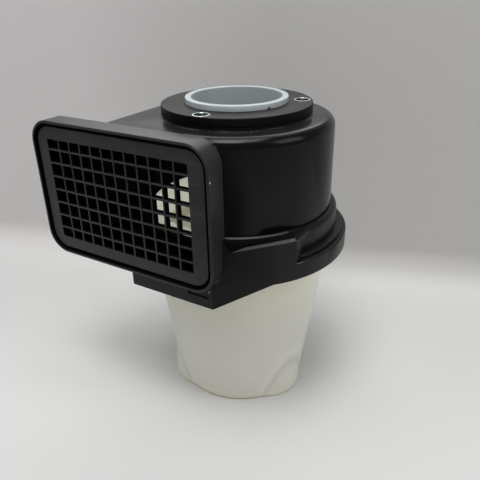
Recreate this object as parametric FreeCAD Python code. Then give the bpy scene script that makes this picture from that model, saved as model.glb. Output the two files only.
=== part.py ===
"""Cyclone air precleaner with a tangential grille inlet, an outlet tube and a twist-off dust cup.

Millimetres, +Z up. The origin is on the cyclone's axis at the height that the cup stands on. The
inlet faces -Y and its long side runs along X. Air enters through the grille into a duct that is
tangent to the round body, spins round the outlet tube and leaves upwards. Dust falls in the cup.
"""
import FreeCAD, Part
from FreeCAD import Vector
import math
import os

# Heights of the stack, from the table upwards
CUP_STAND = 108.4
COLLAR_HEIGHT = 27.1
BODY_EXPOSED = 55.7
BOSS_HEIGHT = 2.0
GASKET_THICK = 0.8
PLATE_THICK = 4.5
TUBE_PROUD = 3.5

# Outlet tube and plate
TUBE_R = 31.5
TUBE_STEP = 0.5
TUBE_WALL = 3.85
TUBE_LENGTH = 59.0
TUBE_EDGE = 0.6
CLIP_THICK = 1.6
CLIP_WIDTH = 3.2
CLIP_SEAT = 0.8
CLIP_OPENING = 24.0
PLATE_MARGIN = 6.3
PLATE_EDGE = 0.5
BOSS_FILLET = 0.9
TUBE_SEAL_SECTION = 2.4

# Threaded inserts in the plate, and the screws between them that hold the plate
INSERT_SPACE = 8.5
INSERT_COUNT = 3
INSERT_TURN = 31.5
INSERT_R = 5.2
INSERT_BORE_R = 3.4
INSERT_SINK = 1.1
INSERT_LENGTH = 9.0
PLATE_SCREW_DEPTH = 3.2

# Round body
BODY_R = 60.25
BODY_WALL = 2.8
BODY_TOP = 3.0
BODY_FLOOR = 2.5
SHOULDER = 6.0
SPIGOT_DEPTH = 7.2
INLET_RIGHT = 20.0

# Inlet rim: a shallow box, wider than the duct behind it
RIM_LEFT = -106.9
RIM_WIDTH = 131.3
RIM_HEIGHT = 88.8
RIM_REACH = 9.45
RIM_DEPTH = 13.5
RIM_CORNER = 14.6
RIM_WALL = 2.4
RIM_EDGE = 0.6
LIP_WIDTH = 1.6
CHANNEL_WIDTH = 2.2
CHANNEL_DEPTH = 5.0

# Grille panel: a border with a skirt, and two crossed sets of bars
PANEL_RECESS = 1.4
PANEL_THICK = 2.6
PANEL_EDGE = 0.4
SKIRT_WALL = 2.0
SIDE_BORDER = 9.25
TOP_BORDER = 7.8
GRILLE_CORNER = 1.0
GRILLE_SHIFT = 1.0
COLUMN_PITCH = 8.66
ROW_PITCH = 8.75
GRILLE_COLUMNS = 12
GRILLE_ROWS = 8
BAR_WIDTH = 1.2
BAR_DEPTH = 4.0
SEAL_THICK = 2.0

# Screw posts and tongues of the panel
POST_R = 3.2
POST_INSET = 13.0
TONGUE_HEIGHT = 10.0
TONGUE_THICK = 2.0
TONGUE_BITE = 0.9
TONGUE_OFFSET = 24.0

# Collar below the body
FLANGE_REACH = 6.9
FLANGE_HEIGHT = 10.8
FLANGE_WALL = 2.5
FLANGE_ROUND = 1.2
STEP_REACH = 4.2
STEP_HEIGHT = 2.6
STEP_ROUND = 0.6
RING_WALL = 3.85
LIP_ROUND = 3.5
SLEEVE_WALL = 2.5
BODY_SEAL_THICK = 1.2

# Chin of the collar, under the inlet
CHIN_REACH = 1.25
CHIN_CORNER_X = 17.8
CHIN_LEFT_X = -44.3
CHIN_END_INSET = 10.8
CHIN_END_STEP = 1.0
CHIN_KINK_TURN = -43.5
CHIN_LEFT_TURN = -142.5
CHIN_BELOW_RIM = 14.7
CHIN_CROWN = 0.4
CHIN_FALL = 7.9
CHIN_WALL = 2.6
CHIN_BEVEL = 1.4
CHIN_CORNER_ROUND = 3.5
CHIN_LEFT_ROUND = 2.0
CHIN_FRONT_HEIGHT = 6.5
CHIN_NOTCH_WIDTH = 15.0
CHIN_NOTCH_DEPTH = 0.8

# Dust cup
CUP_BASE_R = 44.6
CUP_SHOULDER = 3.25
CUP_WALL = 2.2
CUP_FLOOR = 2.6
CUP_FOOT_ROUND = 4.0
NECK_ENTRY = 6.5
LUG_REACH = 2.3
LUG_HEIGHT = 3.0
LUG_RISE = 4.0
LUG_TURN = 16.0
LUG_COUNT = 3
LUG_FIRST = 40.0
TWIST = 30.0
CUP_SEAL_THICK = 1.4

# Foot lobes of the cup: three slightly tapered round pads that swell out of the cone
LOBE_COUNT = 3
LOBE_FIRST = -15.0
LOBE_R = 24.8
LOBE_OFFSET = 25.0
LOBE_TAPER = 0.045

# Self-tapping screws
SCREW_R = 1.9
SCREW_HEAD_R = 3.3
SCREW_HEAD = 2.2
PANEL_SCREW_LENGTH = 7.5

# Clearances
FIT = 0.1
GAP = 0.3
CUP_GAP = 0.6
PAST = 1.0

# Levels that follow from the sizes above
Z_LIP = CUP_STAND + COLLAR_HEIGHT
Z_SPIGOT = Z_LIP - SPIGOT_DEPTH
Z_LEDGE = Z_SPIGOT - BODY_SEAL_THICK
Z_FLANGE = CUP_STAND + FLANGE_HEIGHT
Z_STEP = Z_FLANGE + STEP_HEIGHT
Z_TOP = Z_LIP + BODY_EXPOSED
Z_CEILING = Z_TOP - BODY_TOP
Z_BOSS = Z_TOP + BOSS_HEIGHT
Z_PLATE = Z_BOSS + GASKET_THICK
Z_PLATE_TOP = Z_PLATE + PLATE_THICK
Z_TUBE_TOP = Z_PLATE_TOP + TUBE_PROUD
Z_FLOOR = Z_SPIGOT + BODY_FLOOR
Z_CUP_TOP = CUP_STAND - GAP
Z_NECK_TOP = Z_SPIGOT + NECK_ENTRY
RIM_BOTTOM = Z_TOP - RIM_HEIGHT
RIM_MID_Z = RIM_BOTTOM + RIM_HEIGHT / 2
CHIN_BOTTOM = RIM_BOTTOM - CHIN_BELOW_RIM

# Radii and distances that follow
RIM_MID_X = RIM_LEFT + RIM_WIDTH / 2
RIM_FRONT = BODY_R + RIM_REACH
RIM_BACK = RIM_FRONT - RIM_DEPTH
PANEL_INSET = LIP_WIDTH + CHANNEL_WIDTH
PANEL_FRONT = RIM_FRONT - PANEL_RECESS
PANEL_BACK = PANEL_FRONT - PANEL_THICK
GRILLE_MID_X = RIM_MID_X - GRILLE_SHIFT
GRILLE_WIDTH = RIM_WIDTH - 2 * (PANEL_INSET + SIDE_BORDER)
GRILLE_HEIGHT = RIM_HEIGHT - 2 * (PANEL_INSET + TOP_BORDER)
COLLAR_BORE_R = BODY_R + FIT
RING_R = COLLAR_BORE_R + RING_WALL
STEP_R = RING_R + STEP_REACH
FLANGE_R = RING_R + FLANGE_REACH
CHIN_FRONT = BODY_R + CHIN_REACH
CHIN_END_X = FLANGE_R - CHIN_END_INSET
BULGE_R = COLLAR_BORE_R + 2 * GAP
SOCKET_R = BODY_R - BODY_WALL - FIT
NECK_R = SOCKET_R - GAP
CUP_MOUTH_R = NECK_R + CUP_SHOULDER
STEM_R = TUBE_R - TUBE_STEP
TUBE_BORE_R = STEM_R + FIT
CLIP_R = STEM_R - CLIP_SEAT
INSERT_CIRCLE_R = TUBE_R + INSERT_SPACE
PLATE_R = INSERT_CIRCLE_R + PLATE_MARGIN


def block(x_limits, y_limits, z_limits):
    """Return a box between three pairs of limits."""
    size = [high - low for low, high in (x_limits, y_limits, z_limits)]
    return Part.makeBox(*size, Vector(x_limits[0], y_limits[0], z_limits[0]))


def drum(radius, bottom, top, centre=(0.0, 0.0)):
    """Return an upright cylinder between two heights."""
    return Part.makeCylinder(radius, top - bottom, Vector(centre[0], centre[1], bottom))


def turned(profile):
    """Turn a closed profile of (radius, height) points about the axis."""
    points = [Vector(radius, 0, height) for radius, height in profile]
    face = Part.Face(Part.makePolygon(points + points[:1]))
    return face.revolve(Vector(0, 0, 0), Vector(0, 0, 1), 360)


def prism_x(profile, left, right):
    """Push a closed profile of (y, z) points along X."""
    points = [Vector(left, y, z) for y, z in profile]
    return Part.Face(Part.makePolygon(points + points[:1])).extrude(Vector(right - left, 0, 0))


def prism_y(profile, front, back):
    """Push a closed profile of (x, z) points along Y."""
    points = [Vector(x, front, z) for x, z in profile]
    return Part.Face(Part.makePolygon(points + points[:1])).extrude(Vector(0, back - front, 0))


def round_edges(shape, radius, height, size):
    """Fillet the circular edges of one radius at one height."""
    chosen = []
    for edge in shape.Edges:
        curve = edge.Curve
        if not isinstance(curve, Part.Circle):
            continue
        if abs(curve.Radius - radius) < 1e-4 and abs(curve.Center.z - height) < 1e-4:
            chosen.append(edge)
    return shape.makeFillet(size, chosen)


def edges_through(shape, points):
    """Return the edges that pass through any of the given points."""
    vertices = [Part.Vertex(point) for point in points]
    return [edge for edge in shape.Edges if any(edge.distToShape(v)[0] < 1e-4 for v in vertices)]


def polar(radius, degrees):
    """Return the plan position at a radius and a turn from +X."""
    angle = math.radians(degrees)
    return radius * math.cos(angle), radius * math.sin(angle)


def around(count, first):
    """Return equally spaced turns in degrees."""
    return [first + 360.0 * i / count for i in range(count)]


def one(shapes):
    """Join solids into one."""
    joined = shapes[0].multiFuse(shapes[1:]) if len(shapes) > 1 else shapes[0]
    return joined.removeSplitter()


def rim_slab(inset, front, back):
    """Return the rim's rounded outline, moved in by an inset, between two distances from the axis."""
    x_limits = (RIM_LEFT + inset, RIM_LEFT + RIM_WIDTH - inset)
    z_limits = (RIM_BOTTOM + inset, Z_TOP - inset)
    slab = block(x_limits, (-front, -back), z_limits)
    upright = [e for e in slab.Edges if abs(e.tangentAt(e.FirstParameter).y) > 0.99]
    return slab.makeFillet(RIM_CORNER - inset, upright)


def body_form(inset, bottom, duct_floor, top):
    """Return the round body with its tangent duct, moved in by an inset, with rounded shoulders."""
    radius = BODY_R - inset
    form = round_edges(drum(radius, bottom, top), radius, top, SHOULDER - inset)
    duct = block((-radius, 0), (-RIM_BACK, 0), (duct_floor, top))
    outer_edge = edges_through(duct, [Vector(-radius, -RIM_BACK / 2, top)])
    return one([form, duct.makeFillet(SHOULDER - inset, outer_edge)])


def plate_screw_places():
    """Return the plan positions of the screws that hold the plate, half way between the inserts."""
    first = INSERT_TURN + 180.0 / INSERT_COUNT
    return [polar(INSERT_CIRCLE_R, turn) for turn in around(INSERT_COUNT, first)]


def insert_places():
    """Return the plan positions of the threaded inserts."""
    return [polar(INSERT_CIRCLE_R, turn) for turn in around(INSERT_COUNT, INSERT_TURN)]


def panel_screw_places():
    """Return the (x, z) positions of the two screws behind the free end of the rim."""
    x = RIM_LEFT + POST_INSET
    return [(x, RIM_BOTTOM + POST_INSET), (x, Z_TOP - POST_INSET)]


def tongue_blocks(reach, slack):
    """Return two blocks at the panel's right end, for its tongues and for the pockets they enter."""
    right = RIM_LEFT + RIM_WIDTH - PANEL_INSET
    y_mid = -(RIM_BACK + RIM_WALL + TONGUE_THICK)
    y_limits = (y_mid - TONGUE_THICK / 2 - slack, y_mid + TONGUE_THICK / 2 + slack)
    blocks = []
    for side in (-1, 1):
        z_mid = RIM_MID_Z + side * TONGUE_OFFSET
        z_limits = (z_mid - TONGUE_HEIGHT / 2 - slack, z_mid + TONGUE_HEIGHT / 2 + slack)
        blocks.append(block((right - SKIRT_WALL / 2, right + reach), y_limits, z_limits))
    return blocks


def body_shell():
    """Round body, tangent duct and inlet rim in one moulding, with the boss for the plate."""
    outer = body_form(0, Z_SPIGOT, Z_SPIGOT, Z_TOP)
    rim = rim_slab(0, RIM_FRONT, RIM_BACK)
    face_edges = [e for e in rim.Edges if abs(e.BoundBox.YMax + RIM_FRONT) < 1e-4]
    rim = rim.makeFillet(RIM_EDGE, face_edges)
    rim = rim.cut(drum(BULGE_R, RIM_BOTTOM - PAST, Z_SPIGOT))
    boss = drum(PLATE_R, Z_CEILING, Z_BOSS)
    shell = one([outer, rim, boss])
    shell = round_edges(shell, PLATE_R, Z_TOP, BOSS_FILLET)

    chamber = body_form(BODY_WALL, Z_SPIGOT - PAST, Z_FLOOR, Z_CEILING)
    inlet = block((BODY_WALL - BODY_R, INLET_RIGHT), (-RIM_BACK - RIM_WALL - PAST, -RIM_BACK / 2),
                  (Z_FLOOR, Z_CEILING))
    rim_room = rim_slab(RIM_WALL, RIM_FRONT + PAST, RIM_BACK + RIM_WALL)
    rim_room = rim_room.cut(drum(BULGE_R + RIM_WALL, RIM_BOTTOM - PAST, Z_FLOOR))
    channel = rim_slab(LIP_WIDTH, RIM_FRONT + PAST, RIM_FRONT - CHANNEL_DEPTH)
    shell = shell.cut([chamber, inlet, rim_room, channel])
    holes = [drum(TUBE_BORE_R, Z_CEILING - PAST, Z_BOSS + PAST)]
    holes.append(drum(TUBE_BORE_R + TUBE_SEAL_SECTION, Z_BOSS - TUBE_SEAL_SECTION, Z_BOSS + PAST))
    holes += [drum(INSERT_R + FIT, Z_CEILING - PAST, Z_BOSS + PAST, p) for p in insert_places()]
    holes += [drum(SCREW_R + FIT, Z_CEILING - PAST, Z_BOSS + PAST, p) for p in plate_screw_places()]
    for x, z in panel_screw_places():
        holes.append(Part.makeCylinder(SCREW_R + FIT, RIM_WALL + 2 * PAST,
                                       Vector(x, -RIM_BACK - RIM_WALL - PAST, z), Vector(0, 1, 0)))
    holes += tongue_blocks(PANEL_INSET - RIM_WALL + TONGUE_BITE + GAP, GAP)
    return shell.cut(holes)


def grille_panel():
    """Inlet grille in one moulding: border, skirt, screw posts, tongues and crossed bars."""
    plate = rim_slab(PANEL_INSET, PANEL_FRONT, PANEL_BACK)
    face_edges = [e for e in plate.Edges if abs(e.BoundBox.YMax + PANEL_FRONT) < 1e-4]
    plate = plate.makeFillet(PANEL_EDGE, face_edges)
    x_limits = (GRILLE_MID_X - GRILLE_WIDTH / 2, GRILLE_MID_X + GRILLE_WIDTH / 2)
    z_limits = (RIM_MID_Z - GRILLE_HEIGHT / 2, RIM_MID_Z + GRILLE_HEIGHT / 2)
    window = block(x_limits, (-PANEL_FRONT - PAST, -RIM_BACK), z_limits)
    upright = [e for e in window.Edges if abs(e.tangentAt(e.FirstParameter).y) > 0.99]
    window = window.makeFillet(GRILLE_CORNER, upright)

    bars = []
    y_limits = (-PANEL_FRONT, -PANEL_FRONT + BAR_DEPTH)
    for i in range(GRILLE_COLUMNS - 1):
        x = GRILLE_MID_X + (i - (GRILLE_COLUMNS - 2) / 2) * COLUMN_PITCH
        bars.append(block((x - BAR_WIDTH / 2, x + BAR_WIDTH / 2), y_limits, z_limits))
    for i in range(GRILLE_ROWS - 1):
        z = RIM_MID_Z + (i - (GRILLE_ROWS - 2) / 2) * ROW_PITCH
        bars.append(block(x_limits, y_limits, (z - BAR_WIDTH / 2, z + BAR_WIDTH / 2)))

    foot = RIM_BACK + RIM_WALL + GAP
    skirt = rim_slab(PANEL_INSET, PANEL_BACK, foot)
    skirt = skirt.cut(rim_slab(PANEL_INSET + SKIRT_WALL, PANEL_BACK + PAST, foot - PAST))
    skirt = skirt.cut(drum(BULGE_R + RIM_WALL + GAP, RIM_BOTTOM, Z_FLOOR + GAP))
    posts = []
    for x, z in panel_screw_places():
        posts.append(Part.makeCylinder(POST_R, PANEL_BACK - foot + PAST, Vector(x, -foot, z),
                                       Vector(0, -1, 0)))
    panel = one([plate.cut(window)] + bars + [skirt] + posts
                + tongue_blocks(PANEL_INSET - RIM_WALL + TONGUE_BITE, 0))
    bores = []
    for x, z in panel_screw_places():
        bores.append(Part.makeCylinder(SCREW_R, PANEL_SCREW_LENGTH + GAP - RIM_WALL,
                                       Vector(x, -RIM_BACK - RIM_WALL, z), Vector(0, -1, 0)))
    return panel.cut(bores)


def grille_seal():
    """Sealing cord in the channel between the rim's lip and the panel."""
    back = RIM_FRONT - CHANNEL_DEPTH
    ring = rim_slab(LIP_WIDTH + FIT, back + SEAL_THICK, back)
    return ring.cut(rim_slab(PANEL_INSET - FIT, back + SEAL_THICK + PAST, back - PAST))


def screw(length, head_r=SCREW_HEAD_R):
    """Return a pan-head screw that points along +Z, its head under the plane z = 0."""
    head = drum(head_r, -SCREW_HEAD, 0)
    head = round_edges(head, head_r, -SCREW_HEAD, SCREW_HEAD * 0.4)
    return head.fuse(drum(SCREW_R - FIT, -FIT, length)).removeSplitter()


def grille_screws():
    """Two screws from behind the rim into the posts of the panel."""
    screws = []
    for x, z in panel_screw_places():
        item = screw(PANEL_SCREW_LENGTH)
        item.rotate(Vector(0, 0, 0), Vector(1, 0, 0), 90)
        item.translate(Vector(x, -RIM_BACK, z))
        screws.append(item)
    return Part.makeCompound(screws)


def outlet_flange():
    """Round plate on the boss, with the tube's bore and the holes for the inserts."""
    plate = drum(PLATE_R, Z_PLATE, Z_PLATE_TOP)
    plate = round_edges(plate, PLATE_R, Z_PLATE_TOP, PLATE_EDGE)
    holes = [drum(TUBE_BORE_R, Z_PLATE - PAST, Z_PLATE_TOP + PAST)]
    holes += [drum(INSERT_R, Z_PLATE - PAST, Z_PLATE_TOP + PAST, p) for p in insert_places()]
    holes += [drum(SCREW_R, Z_PLATE - PAST, Z_PLATE + PLATE_SCREW_DEPTH, p) for p in plate_screw_places()]
    return plate.cut(holes)


def flange_gasket():
    """Flat gasket between the boss and the plate."""
    disc = drum(PLATE_R - GAP, Z_BOSS, Z_PLATE)
    holes = [drum(TUBE_BORE_R, Z_BOSS - PAST, Z_PLATE + PAST)]
    holes += [drum(INSERT_R + FIT, Z_BOSS - PAST, Z_PLATE + PAST, p) for p in insert_places()]
    holes += [drum(SCREW_R + FIT, Z_BOSS - PAST, Z_PLATE + PAST, p) for p in plate_screw_places()]
    return disc.cut(holes)


def flange_inserts():
    """Three threaded inserts with a countersunk mouth."""
    inserts = []
    for x, y in insert_places():
        bottom = Z_PLATE_TOP - INSERT_LENGTH
        item = drum(INSERT_R, bottom, Z_PLATE_TOP, (x, y))
        item = item.cut(drum(INSERT_BORE_R, bottom - PAST, Z_PLATE_TOP + PAST, (x, y)))
        sink = Part.makeCone(INSERT_BORE_R, INSERT_BORE_R + INSERT_SINK, INSERT_SINK,
                             Vector(x, y, Z_PLATE_TOP - INSERT_SINK))
        inserts.append(item.cut(sink))
    return Part.makeCompound(inserts)


def flange_screws():
    """Three screws from inside the body into the plate."""
    length = Z_PLATE + PLATE_SCREW_DEPTH - GAP - Z_CEILING
    screws = []
    for x, y in plate_screw_places():
        item = screw(length)
        item.translate(Vector(x, y, Z_CEILING))
        screws.append(item)
    return Part.makeCompound(screws)


def outlet_tube():
    """Tube with a stem through the plate and the body's top, and a groove for its clip."""
    bottom = Z_TUBE_TOP - TUBE_LENGTH
    inner = TUBE_R - TUBE_WALL
    tube = turned([(inner, bottom), (STEM_R, bottom), (STEM_R, Z_PLATE_TOP + GAP),
                   (TUBE_R, Z_PLATE_TOP + GAP), (TUBE_R, Z_TUBE_TOP), (inner, Z_TUBE_TOP)])
    tube = round_edges(tube, TUBE_R, Z_TUBE_TOP, TUBE_EDGE)
    tube = round_edges(tube, inner, Z_TUBE_TOP, TUBE_EDGE)
    groove = drum(TUBE_R + PAST, Z_CEILING - CLIP_THICK - FIT, Z_CEILING)
    return tube.cut(groove.cut(drum(CLIP_R - FIT, Z_CEILING - CLIP_THICK - PAST, Z_CEILING + PAST)))


def tube_clip():
    """Open spring clip in the groove of the tube, under the body's ceiling."""
    start = INSERT_TURN + CLIP_OPENING / 2
    return ring_sector(CLIP_R, CLIP_R + CLIP_WIDTH, Z_CEILING - CLIP_THICK, Z_CEILING - FIT / 2, start,
                       360.0 - CLIP_OPENING)


def tube_seal():
    """Round-section ring in the counterbore of the boss, round the tube."""
    section = TUBE_SEAL_SECTION / 2
    return Part.makeTorus(TUBE_BORE_R + section, section - FIT / 2,
                          Vector(0, 0, Z_BOSS - section), Vector(0, 0, 1))


def chin_plan(inset):
    """Return the chin's plan, moved in by an inset: front, side wall, kink, end face and back."""
    radius = FLANGE_R - inset
    front = -CHIN_FRONT + inset
    kink = Vector(*polar(FLANGE_R, CHIN_KINK_TURN), 0)
    corner = Vector(CHIN_CORNER_X, -CHIN_FRONT, 0)
    side = (kink - corner).normalize()
    inward = Vector(-side.y, side.x, 0)
    start = corner + inward * inset
    inner_corner = start + side * ((front - start.y) / side.y)
    reach = start.dot(side)
    inner_kink = start + side * (math.sqrt(radius ** 2 - start.cross(side).Length ** 2) - reach)
    end_x = CHIN_END_X - inset
    end_outer = Vector(end_x, -math.sqrt(radius ** 2 - end_x ** 2), 0)
    middle_turn = (math.degrees(math.atan2(inner_kink.y, inner_kink.x))
                   + math.degrees(math.atan2(end_outer.y, end_outer.x))) / 2
    end_inner = Vector(end_x, -math.sqrt(max(COLLAR_BORE_R ** 2 - end_x ** 2, 1.0)), 0)
    left_back = Vector(*polar(radius, CHIN_LEFT_TURN), 0)
    left_front = Vector(CHIN_LEFT_X + inset, front, 0)
    points = [Vector(0, 0, 0), left_back, left_front, inner_corner, inner_kink]
    edges = [Part.makeLine(a, b) for a, b in zip(points, points[1:])]
    edges.append(Part.Arc(inner_kink, Vector(*polar(radius, middle_turn), 0), end_outer).toShape())
    edges.append(Part.makeLine(end_outer, end_inner))
    edges.append(Part.makeLine(end_inner, points[0]))
    return Part.Face(Part.Wire(edges)), inner_corner, left_front


def chin_trim():
    """Return the tool that cuts the flange flush with the chin's flat side wall."""
    kink = polar(FLANGE_R, CHIN_KINK_TURN)
    length = math.hypot(kink[0] - CHIN_CORNER_X, kink[1] + CHIN_FRONT)
    tool = block((0, length), (-FLANGE_R / 2, 0), (CUP_STAND - PAST, Z_LIP + PAST))
    turn = math.degrees(math.atan2(kink[1] + CHIN_FRONT, kink[0] - CHIN_CORNER_X))
    tool.rotate(Vector(0, 0, 0), Vector(0, 0, 1), turn)
    tool.translate(Vector(CHIN_CORNER_X, -CHIN_FRONT, 0))
    return tool


def chin_bevels(corner, crown, fall):
    """Return the tools that bevel the chin's upper edge: side wall, round stretch and end face."""
    kink = Vector(*polar(FLANGE_R, CHIN_KINK_TURN), crown)
    far = Vector(corner.x, corner.y, crown - fall * (kink.x - corner.x))
    outward = Vector(kink.y - far.y, far.x - kink.x, 0).normalize()
    up = Vector(0, 0, 1)
    reach = CHIN_BEVEL + PAST
    points = [kink - outward * reach + up * PAST, kink + outward * PAST - up * reach,
              kink + outward * PAST + up * PAST]
    side = Part.Face(Part.makePolygon(points + points[:1])).extrude(far - kink)
    cone = Part.makeCone(FLANGE_R + PAST, FLANGE_R - reach, PAST + reach,
                         Vector(0, 0, crown - reach))
    band = drum(FLANGE_R + 2 * PAST, crown - reach, crown + PAST).cut(cone)
    end = [(CHIN_END_X - reach, crown + PAST), (CHIN_END_X + PAST, crown - reach),
           (CHIN_END_X + PAST, crown + PAST)]
    return [side, band, prism_y(end, -FLANGE_R, PAST)]


def chin_form(inset):
    """Return the chin: its plan pushed up, cut by the falling crown above and the ramp below."""
    plan, corner, left_front = chin_plan(inset)
    crown = Z_LIP - CHIN_CROWN - inset
    plan.translate(Vector(0, 0, CHIN_BOTTOM - PAST))
    form = plan.extrude(Vector(0, 0, crown - CHIN_BOTTOM + PAST))
    kink_x, kink_y = polar(FLANGE_R, CHIN_KINK_TURN)
    rim_x = RIM_LEFT + RIM_WIDTH
    fall = CHIN_FALL / (kink_x - rim_x)
    above = [(kink_x, crown), (kink_x, crown + PAST), (0, crown + PAST), (0, crown - fall * kink_x)]
    form = form.cut(prism_y(above, -2 * CHIN_FRONT, PAST))
    if inset == 0:
        form = form.cut(chin_bevels(corner, crown, fall))
    form = form.cut(block((-2 * FLANGE_R, 0), (-2 * CHIN_FRONT, PAST), (Z_FLANGE - inset, Z_LIP + PAST)))
    for place, size in ((corner, CHIN_CORNER_ROUND), (left_front, CHIN_LEFT_ROUND)):
        upright = edges_through(form, [Vector(place.x, place.y, CHIN_BOTTOM + 2 * PAST)])
        form = form.makeFillet(max(size - inset, PAST / 2), upright)
    slope = (CUP_STAND - CHIN_BOTTOM) / (CHIN_FRONT + kink_y)
    deep = CHIN_BOTTOM - 2 * PAST - slope * PAST
    ramp = [(-CHIN_FRONT - PAST, CHIN_BOTTOM + inset - slope * PAST), (kink_y, CUP_STAND + inset),
            (PAST, CUP_STAND + inset), (PAST, deep), (-CHIN_FRONT - PAST, deep)]
    return form.cut(prism_x(ramp, -2 * FLANGE_R, 2 * FLANGE_R))


def cup_outer_r(height):
    """Return the cup's outer radius at a height below its mouth."""
    return CUP_BASE_R + (CUP_MOUTH_R - CUP_BASE_R) * height / Z_CUP_TOP


def collar():
    """Lower ring with its stepped flange, the cup's socket and the chin under the inlet."""
    skirt_r = FLANGE_R - FLANGE_WALL
    sleeve_r = SOCKET_R + SLEEVE_WALL
    step_room_r = STEP_R - FLANGE_WALL
    under = Z_FLANGE - FLANGE_WALL
    ring = turned([(COLLAR_BORE_R, Z_LIP), (RING_R, Z_LIP), (RING_R, Z_STEP), (STEP_R, Z_STEP),
                   (STEP_R, Z_FLANGE), (FLANGE_R, Z_FLANGE), (FLANGE_R, CUP_STAND),
                   (skirt_r, CUP_STAND), (skirt_r, under), (step_room_r, under),
                   (step_room_r, Z_STEP - FLANGE_WALL), (sleeve_r, Z_STEP - FLANGE_WALL),
                   (sleeve_r, CUP_STAND), (SOCKET_R, CUP_STAND), (SOCKET_R, Z_LEDGE),
                   (COLLAR_BORE_R, Z_LEDGE)])
    ring = round_edges(ring, RING_R, Z_LIP, LIP_ROUND)
    ring = round_edges(ring, STEP_R, Z_STEP, STEP_ROUND)
    ring = round_edges(ring, FLANGE_R, Z_FLANGE, FLANGE_ROUND).cut(chin_trim())

    chin = chin_form(0).cut(chin_form(CHIN_WALL))
    below = CHIN_BOTTOM - 2 * PAST
    cup_room = Part.makeCone(cup_outer_r(below) + CUP_GAP, cup_outer_r(CUP_STAND) + CUP_GAP,
                             CUP_STAND - below, Vector(0, 0, below))
    body_room = drum(COLLAR_BORE_R + RING_WALL / 2, CUP_STAND - PAST, Z_LIP + PAST)
    notch_right = CHIN_CORNER_X - CHIN_WALL
    notch = block((notch_right - CHIN_NOTCH_WIDTH, notch_right),
                  (-CHIN_FRONT - PAST, -CHIN_FRONT + CHIN_NOTCH_DEPTH),
                  (CHIN_BOTTOM + CHIN_FRONT_HEIGHT, RIM_BOTTOM + PAST))
    end_room = block((CHIN_END_X - CHIN_END_STEP, CHIN_END_X + PAST), (-FLANGE_R, 0),
                     (Z_STEP, Z_LIP - CHIN_CROWN - 2 * CHIN_BEVEL))
    end_room = end_room.common(drum(FLANGE_R - CHIN_WALL, Z_FLANGE, Z_LIP))
    chin = chin.cut([cup_room, body_room, notch, end_room])
    collar_shape = one([ring, chin])

    rim_room = rim_slab(-GAP, RIM_FRONT + 2 * PAST, RIM_BACK - GAP)
    rim_room = rim_room.cut(drum(COLLAR_BORE_R + GAP, RIM_BOTTOM - PAST, Z_LEDGE))
    duct_room = block((-BODY_R - GAP, 0), (-RIM_BACK - PAST, 0), (Z_SPIGOT - GAP, Z_LIP + PAST))
    duct_room = duct_room.cut(drum(COLLAR_BORE_R - FIT, Z_SPIGOT - PAST, Z_LIP + 2 * PAST))
    return collar_shape.cut([rim_room, duct_room] + lug_slots())


def ring_sector(inner, outer, bottom, top, start, sweep):
    """Return a sector of a ring between two radii and two heights."""
    sector = Part.makeCylinder(outer, top - bottom, Vector(0, 0, bottom), Vector(0, 0, 1), sweep)
    sector = sector.cut(drum(inner, bottom - PAST, top + PAST))
    sector.rotate(Vector(0, 0, 0), Vector(0, 0, 1), start)
    return sector


def lug_slots():
    """Return the bayonet slots of the sleeve: a run along the twist and an entry from below."""
    spare = math.degrees(GAP / SOCKET_R) * 2
    low = CUP_STAND + LUG_RISE - GAP
    high = CUP_STAND + LUG_RISE + LUG_HEIGHT + GAP
    outer = SOCKET_R + SLEEVE_WALL + PAST
    slots = []
    for turn in around(LUG_COUNT, LUG_FIRST):
        start = turn - LUG_TURN / 2 - spare
        slots.append(ring_sector(SOCKET_R - PAST, outer, low, high, start, LUG_TURN + TWIST + 2 * spare))
        entry = turn + TWIST - LUG_TURN / 2 - spare
        slots.append(ring_sector(SOCKET_R - PAST, outer, CUP_STAND - PAST, high, entry,
                                 LUG_TURN + 2 * spare))
    return slots


def body_seal():
    """Flat ring between the foot of the body and the ledge of the collar."""
    return drum(BODY_R - FIT, Z_LEDGE, Z_SPIGOT).cut(drum(BODY_R - BODY_WALL, Z_LEDGE - PAST,
                                                          Z_SPIGOT + PAST))


def cup_form(inset, floor, top):
    """Return the cup's cone with its foot lobes, moved in by an inset, between two heights."""
    foot_round = max(CUP_FOOT_ROUND - inset, TUBE_EDGE)
    cone_r = cup_outer_r(floor) - inset
    cone = Part.makeCone(cone_r, cup_outer_r(top) - inset, top - floor, Vector(0, 0, floor))
    forms = [round_edges(cone, cone_r, floor, foot_round)]
    slope = (CUP_MOUTH_R - CUP_BASE_R) / Z_CUP_TOP
    lobe_top = (LOBE_OFFSET + LOBE_R - CUP_BASE_R) / (slope + LOBE_TAPER) + PAST
    lobe_r = LOBE_R - inset - LOBE_TAPER * floor
    for turn in around(LOBE_COUNT, LOBE_FIRST):
        place = Vector(*polar(LOBE_OFFSET, turn), floor)
        lobe = Part.makeCone(lobe_r, LOBE_R - inset - LOBE_TAPER * lobe_top, lobe_top - floor, place)
        forms.append(round_edges(lobe, lobe_r, floor, foot_round))
    return one(forms)


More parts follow.
